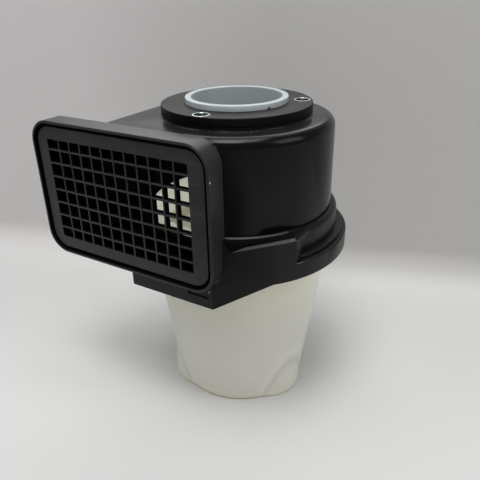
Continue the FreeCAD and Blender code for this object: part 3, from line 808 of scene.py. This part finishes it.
@dataclass
class DustCup:
    """Milky cup: a tapered shell with soft foot lobes, a seal's seat, a neck and bayonet lugs."""

    palette: Palette
    base_r: float = 44.6
    mouth_r: float = 60.3
    mouth_z: float = 108.1
    wall: float = 2.2
    floor: float = 2.6
    foot_round: float = 4.0
    foot_end: float = -6.0
    floor_rings: Triple = (12.0, 24.0, 33.0)
    outer_heights: tuple[int, ...] = (*range(6, 36, 2), *range(40, 97, 8), 103)
    inner_heights: tuple[int, ...] = (*range(96, 39, -8), *range(34, 7, -2))
    mouth_edge: Span = (0.3, 0.5)
    neck_r: float = 57.05
    neck_top: float = 134.8
    neck_edge: float = 0.4
    seat_r: float = 59.55
    seat_depth: float = 1.4
    lobe_r: float = 24.8
    lobe_offset: float = 25.0
    lobe_taper: float = 0.045
    lobe_turns: Triple = (-15.0, 105.0, 225.0)
    lobe_top: float = 36.0
    hub_r: float = 20.0
    blend: float = 0.5
    inner_share: float = 0.6
    floor_slack: float = 0.1
    line_low: float = 1.0
    crease_shade_band: Span = (0.3, 0.7)
    arch_highlight_band: Span = (-1.6, 1.1)
    lug_low: float = 112.4
    lug_size: Span = (2.3, 3.0)
    lug_turn: float = 16.0
    lug_turns: Triple = (40.0, 160.0, 280.0)
    steps: int = 192

    def build(self) -> None:
        """Make the cup and its seal."""
        work = self._shell()
        for turn in self.lug_turns:
            absorb(work, self._lug(turn))
        stand_in(work, "dust_cup_skin", [self.palette.milky], Body.CUP, "dust_cup", angle=40.0)
        smooth_copy("cup_seal", Body.CUP, self.palette.rubber)

    def _cone_r(self, height: float) -> float:
        """Return the cup's outer radius at a height."""
        return self.base_r + (self.mouth_r - self.base_r) * height / self.mouth_z

    def _profile(self) -> list[Span]:
        """Draw the half section of the shell.

        Returns:
            Points of (radius, height), from the pole below round to the pole inside.
        """
        rings, edge, bend = self.floor_rings, self.neck_edge, self.foot_round
        edge_in, edge_low = self.mouth_edge
        low_r = self._cone_r(bend)
        points = [(0.0, 0.0)] + [(ring, 0.0) for ring in rings]
        points += arc_points((low_r - bend, bend), bend, -90.0, self.foot_end, 9)
        points += [(self._cone_r(z), z) for z in self.outer_heights]
        points += [(self.mouth_r, self.mouth_z - edge_low), (self.mouth_r - edge_in, self.mouth_z)]
        seat_z = self.mouth_z - self.seat_depth
        points += [(self.seat_r, self.mouth_z), (self.seat_r, seat_z), (self.neck_r, seat_z)]
        points += [(self.neck_r, self.neck_top - edge), (self.neck_r - edge, self.neck_top)]
        throat = self.neck_r - self.wall
        points += [(throat + edge, self.neck_top), (throat, self.neck_top - edge)]
        wide_z = self.mouth_z - 2 * self.wall
        points += [(throat, wide_z + self.wall), (self._cone_r(wide_z) - self.wall, wide_z)]
        points += [(self._cone_r(z) - self.wall, z) for z in self.inner_heights]
        inner = bend - self.wall
        low_r = self._cone_r(self.floor + inner) - self.wall
        points += arc_points((low_r - inner, self.floor + inner), inner, self.foot_end,
                             -90.0, 5)
        return points + [(ring, self.floor) for ring in reversed(rings)] + [(0.0, self.floor)]

    def _swell(self, turn: float, height: float, inset: float) -> Span:
        """Return how far a lobe pushes the cone outwards, and how far it stands before the cone.

        Args:
            turn: Azimuth in degrees.
            height: Height in millimetres.
            inset: How far the surface lies inside the outer one.

        Returns:
            The push and the lead in millimetres.
        """
        steepest = 30.0
        cone = self._cone_r(height) - inset
        push, lead = 0.0, -self.hub_r
        for centre in self.lobe_turns:
            away = math.radians((turn - centre + 180.0) % 360.0 - 180.0)
            radius = self.lobe_r - inset - self.lobe_taper * height
            side = self.lobe_offset * math.sin(away)
            if abs(away) > math.pi / 2 or radius <= abs(side):
                continue
            lobe = self.lobe_offset * math.cos(away) + math.sqrt(radius ** 2 - side ** 2)
            lead = max(lead, lobe - cone)
            gap = (lobe - cone) / self.blend
            soft = math.log1p(math.exp(gap)) if gap < steepest else gap
            push = max(push, self.blend * soft)
        return push, lead

    def _lug(self, turn: float) -> BMesh:
        """Spin one bayonet lug a short way round the neck.

        Args:
            turn: Azimuth of its middle in degrees.

        Returns:
            The lug, whose foot lies inside the neck's wall.
        """
        reach, height = self.lug_size
        inner, outer = self.neck_r - self.wall / 2, self.neck_r + reach
        high = self.lug_low + height
        work = bmesh.new()
        corners = ((inner, self.lug_low), (outer, self.lug_low), (outer, high), (inner, high))
        block = work.faces.new([work.verts.new((r * MM, 0.0, z * MM)) for r, z in corners])
        bmesh.ops.rotate(work, verts=work.verts, cent=(0, 0, 0),
                         matrix=Matrix.Rotation(math.radians(turn - self.lug_turn / 2), 3, "Z"))
        bmesh.ops.spin(work, geom=[block], cent=(0, 0, 0), axis=(0, 0, 1),
                       angle=math.radians(self.lug_turn), steps=8, use_merge=False)
        bmesh.ops.recalc_face_normals(work, faces=work.faces)
        return work

    def _shell(self) -> BMesh:
        """Spin the shell, swell its lobes and keep where their painted highlight and shade lie as
        fields on the mesh.

        Returns:
            The shell, without its lugs.
        """
        work = spin_profile(self._profile(), self.steps, closed=False)
        crease_shade = work.verts.layers.float.new("crease_shade")
        arch_highlight = work.verts.layers.float.new("arch_highlight")
        for vert in work.verts:
            radius = math.hypot(vert.co.x, vert.co.y) / MM
            height = vert.co.z / MM
            if radius < self.hub_r or height > self.lobe_top:
                continue
            outer = self._cone_r(max(height, 0.0))
            within = radius < outer - self.wall * self.inner_share
            inset = self.wall if within and height > self.floor - self.floor_slack else 0.0
            turn = math.degrees(math.atan2(vert.co.y, vert.co.x))
            share = (radius - self.hub_r) / (outer - inset - self.foot_round - self.hub_r)
            push, lead = self._swell(turn, height, inset)
            # Fields for the painted highlight along the lobes' arch and the painted shade along
            # their crease.
            if inset == 0.0 and height > self.line_low:
                for layer, (centre, width) in ((crease_shade, self.crease_shade_band), (arch_highlight, self.arch_highlight_band)):
                    vert[layer] = math.exp(-((lead - centre) / width) ** 2)
            factor = 1.0 + min(1.0, share) * push / radius
            vert.co.x *= factor
            vert.co.y *= factor
        return work


@dataclass
class OutletTop:
    """Outlet on top: disc, gasket, tube with its clip and seal, and the threaded inserts."""

    palette: Palette
    wall_middle_r: float = 30.6
    insert_circle: float = 40.0
    insert_turns: Triple = (31.5, 151.5, 271.5)
    insert_r: float = 5.2
    insert_edge: float = 0.15
    mouth_r: float = 4.15
    mouth_edge: Triple = (0.12, 0.02, 0.1)
    first_root: float = 0.45
    crest_r: float = 3.45
    root_r: float = 4.0
    pitch: float = 1.25
    top: float = 198.5
    length: float = 9.0

    def build(self) -> None:
        """Make the pieces of the outlet."""
        palette = self.palette
        for node, material in (("outlet_flange", palette.disc), ("flange_gasket", palette.rubber),
                               ("tube_clip", palette.steel), ("tube_seal", palette.rubber)):
            smooth_copy(node, Body.HEAD, material)
        # The bore's faces take the darker copy with painted shade.
        smooth_copy("outlet_tube", Body.HEAD, palette.tube, palette.shaded_bore,
                    choose=lambda middle, _: int(middle.xy.length < self.wall_middle_r))
        stand_in(self._inserts(), "flange_inserts_skin", [palette.steel, palette.thread], Body.HEAD,
                 "flange_inserts", angle=25.0)

    def _insert_profile(self) -> list[Span]:
        """Draw the half section of one insert, with its thread as rings.

        Returns:
            Points of (radius, height).
        """
        low, edge = self.top - self.length, self.insert_edge
        out, rise, depth = self.mouth_edge
        points = [(self.insert_r, low), (self.insert_r, self.top - edge),
                  (self.insert_r - edge, self.top), (self.mouth_r + out, self.top + rise),
                  (self.mouth_r, self.top - depth)]
        height = self.top - self.first_root
        while height > low + self.pitch:
            points.append((self.root_r, height))
            points.append((self.crest_r, height - self.pitch / 2))
            height -= self.pitch
        return points + [(self.root_r, low)]

    def _inserts(self) -> BMesh:
        """Spin three inserts; the thread's faces take the second finish.

        Returns:
            The three inserts in one mesh.
        """
        work = bmesh.new()
        for turn in self.insert_turns:
            centre = direction(turn) * self.insert_circle * MM
            single = spin_profile(self._insert_profile(), 40, centre)
            for face in single.faces:
                middle = face.calc_center_median() - centre
                face.material_index = int(middle.xy.length < self.mouth_r * MM)
            absorb(work, single)
        return work


@dataclass
class HeadShell:
    """Round body with its tangent inlet, the collar and their seals and screws.

    The patch closes the thin spot in the rim's upper right corner. Chin, wall, lip and ring say
    where the collar takes painted shade and painted highlights. Skin is how deep a face lies
    before it counts as inside.
    """

    palette: Palette
    body_r: float = 60.25
    top: float = 191.2
    rim_left: float = -106.9
    rim_right: float = 24.4
    rim_bottom: float = 102.4
    rim_front: float = 69.7
    rim_back: float = 56.2
    rim_corner: float = 14.6
    shoulder: float = 6.0
    chin_back: float = -33.0
    chin_low: float = 118.0
    wall_low: float = 125.0
    lip_low: float = 131.5
    ring_r: float = 64.2
    lip_line: Span = (0.86, 0.985)
    level: float = 0.9
    sloping: float = 0.4
    upright: float = 0.3
    patch_turn: float = 50.0
    patch_gap: float = 0.25
    patch_y: float = -56.8
    patch_size: Triple = (1.3, 6.6, 4.4)
    skin: float = 1.5
    slack: float = 0.2
    front_slack: float = 0.3

    def build(self) -> None:
        """Dress the pieces of the head."""
        palette = self.palette
        rubber, steel = palette.rubber, palette.steel
        work = welded("body_shell")
        self._close_corner(work)
        for face in work.faces:
            # Faces inside the chamber and the duct take painted shade; the rim's faces take the
            # matt rim finish.
            face.material_index = self._finish(face.calc_center_median() / MM)
        stand_in(work, "body_shell_skin", [palette.shell, palette.inside, palette.rim], Body.HEAD,
                 "body_shell")
        smooth_copy("collar", Body.HEAD, palette.collar, palette.inside, palette.edge,
                    choose=self._collar_finish)
        for node, material in (("body_seal", rubber), ("grille_seal", rubber),
                               ("flange_screws", steel), ("grille_screws", steel)):
            smooth_copy(node, Body.HEAD, material)

    def _close_corner(self, work: BMesh) -> None:
        """Close the thin spot where the passage behind the rim meets the rim's rounded corner.

        Args:
            work: The moulding, which takes a small plate.
        """
        bend = self.rim_corner
        middle = Vector((self.rim_right - bend, self.patch_y, self.top - bend))
        out = bend - self.patch_gap - self.patch_size[0] / 2
        middle += direction(0.0, self.patch_turn) * out
        turn = Matrix.Rotation(-math.radians(self.patch_turn), 4, "Y")
        place = Matrix.Translation(middle * MM) @ turn
        scale = Matrix.Diagonal(Vector((*self.patch_size, 1.0 / MM)) * MM)
        bmesh.ops.create_cube(work, size=1.0, matrix=place @ scale)

    def _finish(self, middle: Vector) -> int:
        """Give the finish number of a face of the moulding.

        Args:
            middle: The face's middle in millimetres.

        Returns:
            0 for the glossy shell, 1 for the inside, which takes painted shade, 2 for the matt rim.
        """
        if self._inside(middle):
            return 1
        return 2 if middle.y < -self.rim_back + self.slack else 0

    def _collar_finish(self, middle: Vector, normal: Vector) -> int:
        """Give the finish number of a face of the collar.

        Args:
            middle: The face's middle in millimetres.
            normal: The face's normal.

        Returns:
            0 for the plain collar, 1 for painted shade in the hollow above the chin, 2 for painted
            highlights on its edges.
        """
        if middle.y > self.chin_back or middle.z < self.chin_low:
            return 0
        radius = middle.xy.length
        if radius < self.ring_r - self.slack:
            # On the lip's round a thin band takes the painted highlight, the band below it painted
            # shade.
            dark, bright = self.lip_line
            if middle.z < self.lip_low or normal.z >= bright:
                return 0
            return 1 if normal.z < dark else 2
        ring_wall = radius < self.ring_r + 2 * self.slack and middle.z > self.wall_low
        # Flat tops and the ring wall above the chin take painted shade; bevels facing forward and
        # up take the painted highlight.
        if normal.z > self.level or (ring_wall and abs(normal.z) < self.upright):
            return 1
        return 2 if normal.z > self.sloping and normal.y < -self.upright else 0

    def _inside(self, middle: Vector) -> bool:
        """Tell whether a face of the moulding lies inside it.

        Args:
            middle: The face's middle in millimetres.

        Returns:
            True for a face of the chamber, the duct or the room behind the grille.
        """
        skin = self.skin
        radius = middle.xy.length
        behind_rim = middle.y < -self.rim_back + self.slack and radius > self.body_r
        if middle.y < -self.rim_back - skin or behind_rim:
            deep = middle.y > -self.rim_front + self.front_slack
            return deep and self._rim_depth(middle) > skin
        over = self.shoulder - (self.top - middle.z)
        around = self.shoulder - (self.body_r - radius)
        if over > 0.0 and around > 0.0:
            return math.hypot(over, around) < self.shoulder - skin
        if over > self.shoulder - skin:
            return False
        if radius < self.body_r - skin:
            return True
        return skin - self.body_r < middle.x < 0.0 and skin - self.rim_back < middle.y < 0.0

    def _rim_depth(self, middle: Vector) -> float:
        """Measure how deep a place lies inside the rim's rounded outline.

        Args:
            middle: The place in millimetres.

        Returns:
            The depth in millimetres, below 0 outside the outline.
        """
        sides = ((middle.x, self.rim_left, self.rim_right), (middle.z, self.rim_bottom, self.top))
        out_x, out_z = (abs(place - (low + high) / 2) - (high - low) / 2 + self.rim_corner
                        for place, low, high in sides)
        outside = math.hypot(max(out_x, 0.0), max(out_z, 0.0))
        return self.rim_corner - outside - min(max(out_x, out_z), 0.0)


@dataclass
class InletGrille:
    """Grille panel: the moulded border with its opening, and two crossed sets of rounded bars."""

    palette: Palette
    front: float = 68.3
    middle: Span = (-42.25, 146.8)
    width: float = 105.2
    height: float = 65.6
    column_pitch: float = 8.66
    row_pitch: float = 8.75
    columns: int = 12
    rows: int = 8
    bar_width: float = 1.2
    bar_depth: float = 4.0
    bar_round: float = 0.32
    bar_step: float = 0.04
    corner: float = 1.0
    bite: float = 0.4
    border: float = 14.0
    round_start: float = 4.0
    round_depth: float = 1.5
    seam: float = 0.03
    slack: float = 0.05

    def build(self) -> None:
        """Make the border and the bars as one piece; its deep faces take the finish with painted
        shade.
        """
        work = self._border()
        self._add_bars(work)
        for face in work.faces:
            middle = face.calc_center_median() / MM
            deep = middle.y > -self.front + self.bar_round + self.slack
            # The bars' sides and the faces round the opening take painted shade.
            face.material_index = int(deep and self._near_opening(middle))
        stand_in(work, "grille_panel_skin", [self.palette.panel, self.palette.inside], Body.HEAD,
                 "grille_panel")

    def _near_opening(self, middle: Vector) -> bool:
        """Tell whether a place lies in the opening or behind the border, not on its outer round.

        Args:
            middle: The place in millimetres.

        Returns:
            True in the opening and close round it.
        """
        shallow = middle.y < -self.front + self.round_depth
        reach = self.round_start if shallow else self.border
        return (abs(middle.x - self.middle[0]) <= self.width / 2 + reach
                and abs(middle.z - self.middle[1]) <= self.height / 2 + reach)

    def _border(self) -> BMesh:
        """Copy the panel and take its bars out, so that the opening is free.

        Returns:
            The border.
        """
        work = welded("grille_panel")
        x_mid, z_mid = self.middle
        half_x, half_z = self.width / 2, self.height / 2
        x_way, z_way = Vector((1, 0, 0)), Vector((0, 0, 1))
        for axis, place in ((x_way, x_mid - half_x), (x_way, x_mid + half_x),
                            (z_way, z_mid - half_z), (z_way, z_mid + half_z)):
            bmesh.ops.bisect_plane(work, geom=work.verts[:] + work.edges[:] + work.faces[:],
                                   dist=1e-6, plane_co=axis * place * MM, plane_no=axis)
        bars = []
        for face in work.faces:
            middle = face.calc_center_median() / MM
            in_x = half_x - abs(middle.x - x_mid)
            in_z = half_z - abs(middle.z - z_mid)
            at_corner = max(in_x, in_z) < self.corner + self.slack
            if min(in_x, in_z) > self.seam and not at_corner:
                bars.append(face)
        bmesh.ops.delete(work, geom=bars, context="FACES")
        return work

    def _add_bars(self, work: BMesh) -> None:
        """Add the crossed bars, each a long box with rounded front edges.

        Args:
            work: The mesh that takes them.
        """
        x_mid, z_mid = self.middle
        upright = (self.bar_width, self.height + 2 * self.bite)
        level = (self.width + 2 * self.bite, self.bar_width)
        for i in range(self.columns - 1):
            x = x_mid + (i - (self.columns - 2) / 2) * self.column_pitch
            self._add_bar(work, (x, z_mid), upright, 0.0)
        for i in range(self.rows - 1):
            z = z_mid + (i - (self.rows - 2) / 2) * self.row_pitch
            self._add_bar(work, (x_mid, z), level, self.bar_step)

    def _add_bar(self, work: BMesh, middle: Span, size: Span, back: float) -> None:
        """Add one bar.

        Args:
            work: The mesh that takes it.
            middle: Its middle as (x, z) in millimetres.
            size: Its extents along X and Z.
            back: How far its face lies behind the border's.
        """
        y_mid = -self.front + back + self.bar_depth / 2
        place = Matrix.Translation(Vector((middle[0], y_mid, middle[1])) * MM)
        scale = Matrix.Diagonal(Vector((size[0], self.bar_depth, size[1], 1.0 / MM)) * MM)
        made = bmesh.ops.create_cube(work, size=1.0, matrix=place @ scale)["verts"]
        front_y = (-self.front + back) * MM
        edges = {edge for vert in made for edge in vert.link_edges}
        front = [edge for edge in edges if all(abs(v.co.y - front_y) < 1e-6 for v in edge.verts)]
        bmesh.ops.bevel(work, geom=front, offset=self.bar_round * MM, affect="EDGES", segments=3,
                        profile=0.5, material=-1)


@dataclass
class PhotoCamera:
    """Camera that stands where the photograph was taken from."""

    place: Vector = field(default_factory=lambda: Vector((168.89, -279.00, 265.9)) * MM)
    azimuth: float = 31.117
    pitch: float = 26.50
    roll: float = 1.035
    focal_px: float = 527.23
    picture_px: float = 480.0
    sensor_mm: float = 36.0
    nearest: float = 0.01

    def build(self) -> None:
        """Make the camera and use it."""
        data = bpy.data.cameras.new("photo camera")
        data.sensor_width = self.sensor_mm
        data.lens = self.focal_px / self.picture_px * self.sensor_mm
        data.clip_start = self.nearest
        camera = add_object("photo camera", data)
        roll = math.radians(self.roll)
        forward = direction(self.azimuth + 90.0, -self.pitch)
        right = direction(self.azimuth)
        down = forward.cross(right)
        level_right = right * math.cos(roll) + down * math.sin(roll)
        level_down = down * math.cos(roll) - right * math.sin(roll)
        axes = Matrix((level_right, -level_down, -forward)).transposed()
        camera.matrix_world = Matrix.Translation(self.place) @ axes.to_4x4()
        bpy.context.scene.camera = camera


@dataclass(frozen=True)
class Lamp:
    """A square soft lamp that looks at the object; its turn and rise are in degrees."""

    name: str
    azimuth: float
    rise: float
    distance: float
    size: float
    watts: float
    target: Triple = (0.0, 0.0, 0.1)

    def build(self) -> None:
        """Make the lamp."""
        data = bpy.data.lights.new(self.name, "AREA")
        data.size = self.size
        data.energy = self.watts
        lamp = add_object(self.name, data)
        place = Vector(self.target) + direction(self.azimuth, self.rise) * self.distance
        aim = (Vector(self.target) - place).to_track_quat("-Z", "Y")
        lamp.matrix_world = Matrix.Translation(place) @ aim.to_matrix().to_4x4()


@dataclass
class Studio:
    """Pale floor with a low wall behind, soft lamps and an even sky."""

    azimuth: float = 19.6
    half_width: float = 1.6
    front: float = 1.5
    wall_distance: float = 0.151
    wall_height: float = 0.258
    sweep_radius: float = 0.03
    sweep_steps: int = 16
    floor_shade: Colour = (0.62, 0.62, 0.61, 1.0)
    painted_shadow_shade: Colour = (0.12, 0.12, 0.12, 1.0)
    painted_shadow_centre: Triple = (0.03, -0.50, 0.0)
    painted_shadow_edge: Span = (0.25, 0.33)
    wall_painted_shade: Colour = (0.54, 0.53, 0.52, 1.0)
    wall_foot: Span = (0.0, 0.012)
    wall_left_painted_light: Colour = (0.68, 0.66, 0.655, 1.0)
    left_edge: Span = (-0.05, -0.22)
    sky_shade: Colour = (0.93, 0.94, 0.96, 1.0)
    sky_strength: float = 0.21
    lamps: tuple[Lamp, ...] = (Lamp("window lamp", -80.0, 70.0, 1.0, 0.40, 3.1),
                               Lamp("right lamp", 5.0, 35.0, 1.2, 0.6, 2.6),
                               Lamp("left lamp", 205.0, 45.0, 1.2, 0.6, 2.0),
                               Lamp("top lamp", -60.0, 82.0, 1.2, 0.7, 7.8),
                               Lamp("back lamp", 121.0, 45.0, 1.0, 0.9, 4.9))

    def build(self) -> None:
        """Make the backdrop, the lamps and the world."""
        self._backdrop()
        for lamp in self.lamps:
            lamp.build()
        self._sky()
        bpy.context.scene.view_settings.view_transform = "Standard"

    def _paper(self) -> Material:
        """Make the backdrop's paper: painted shadow on the floor in front, by the camera, painted
        shade up the wall and painted light on the wall's left part.

        Returns:
            The paper.
        """
        material, net, shader = new_material("pale paper")
        shader.inputs["Roughness"].default_value = 0.7
        shader.inputs["Specular IOR Level"].default_value = 0.15
        place = net.place()
        # Painted shadow on the floor in front, by the camera.
        dark = net.map_range(net.distance(place, self.painted_shadow_centre), *self.painted_shadow_edge, 1.0, 0.0)
        floor = net.mix(dark, self.floor_shade, self.painted_shadow_shade)
        # Painted shade up the wall, with painted light towards its left.
        left = net.map_range(net.part(place, "X"), *self.left_edge)
        wall = net.mix(left, self.wall_painted_shade, self.wall_left_painted_light)
        height = net.map_range(net.part(place, "Z"), *self.wall_foot)
        net.link(net.mix(height, floor, wall), shader.inputs["Base Color"])
        return material

    def _backdrop(self) -> None:
        """Make the floor, the sweep and the wall as one sheet that faces the camera."""
        reach = self.wall_distance
        points = [(-self.front, 0.0), (reach - self.sweep_radius, 0.0)]
        for i in range(1, self.sweep_steps + 1):
            angle = math.radians(90.0 * i / self.sweep_steps)
            points.append((reach - self.sweep_radius * (1 - math.sin(angle)),
                           self.sweep_radius * (1 - math.cos(angle))))
        points.append((reach, self.wall_height))
        away, side = direction(self.azimuth + 90.0), direction(self.azimuth)
        work = bmesh.new()
        verts = [work.verts.new(away * distance - side * self.half_width + Vector((0, 0, height)))
                 for distance, height in points]
        edges = [work.edges.new(pair) for pair in zip(verts, verts[1:])]
        grown = bmesh.ops.extrude_edge_only(work, edges=edges)["geom"]
        moved = [item for item in grown if isinstance(item, bmesh.types.BMVert)]
        bmesh.ops.translate(work, verts=moved, vec=side * 2 * self.half_width)
        bmesh.ops.recalc_face_normals(work, faces=work.faces)
        for face in work.faces:
            face.smooth = True
        sheet = add_object("backdrop", finished_mesh("backdrop", work, self._paper()))

    def _sky(self) -> None:
        """Light everything with an even pale world."""
        world = bpy.data.worlds.new("studio")
        world.use_nodes = True
        back = world.node_tree.nodes["Background"]
        back.inputs["Color"].default_value = self.sky_shade
        back.inputs["Strength"].default_value = self.sky_strength
        bpy.context.scene.world = world


def main() -> None:
    """Build the scene."""
    logging.basicConfig(level=logging.INFO, format="%(name)s: %(message)s")
    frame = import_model()
    LOG.info("frame with %d nodes", len(frame["nodes"]))
    PhotoCamera().build()
    palette = Palette.make()
    HeadShell(palette).build()
    InletGrille(palette).build()
    OutletTop(palette).build()
    DustCup(palette).build()
    Studio().build()


if __name__ == "__main__":
    main()
